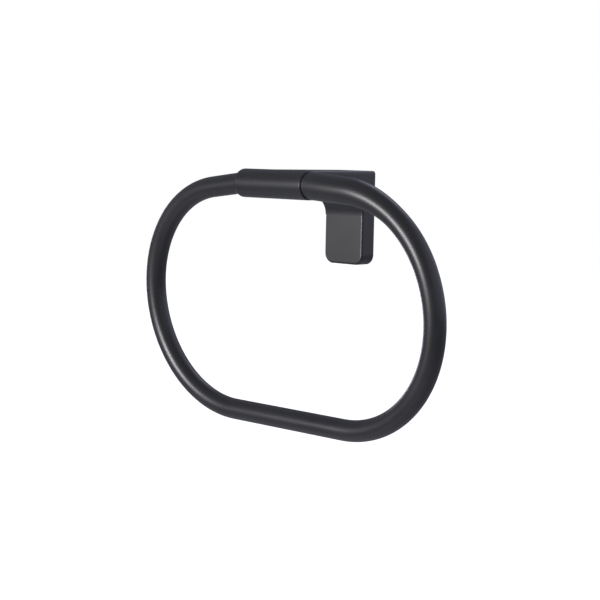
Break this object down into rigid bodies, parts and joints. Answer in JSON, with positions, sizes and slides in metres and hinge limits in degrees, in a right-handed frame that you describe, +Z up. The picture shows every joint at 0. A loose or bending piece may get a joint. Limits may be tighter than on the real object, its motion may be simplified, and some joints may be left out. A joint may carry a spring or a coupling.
{
  "type": "towel ring with wall bracket",
  "caption": "Matt black towel ring: a flattened round loop of tube swings in the long barrel of an L-shaped wall bracket that hangs on a concealed plate.",
  "frame": {"origin": "centre of the bracket's wall face, on the wall plane", "axes": "+X to the right along the wall, +Y into the wall, +Z up; the room is at -Y"},
  "size_m": [0.2577, 0.068, 0.1639],
  "materials": {
    "black_coat": "matt black coating with a soft sheen",
    "dark_plastic": "plain matt bearing plastic",
    "plate_steel": "dull zinc-plated",
    "screw_steel": "blackened"
  },
  "bodies": {
    "bracket": {"bracket": "black_coat", "bush_right": "dark_plastic", "bush_left": "dark_plastic", "wall_plate": "plate_steel", "grub_screw": "screw_steel"},
    "ring": {"ring_tube": "black_coat", "ring_end": "black_coat", "left_pivot": "black_coat"}
  },
  "joints": [
    {"name": "ring_swing", "type": "hinge", "parent": "bracket", "child": "ring", "pos_m": [0, -0.059, 0.0207], "axis": [1, 0, 0], "range_deg": [-160, 14.5]}
  ]
}
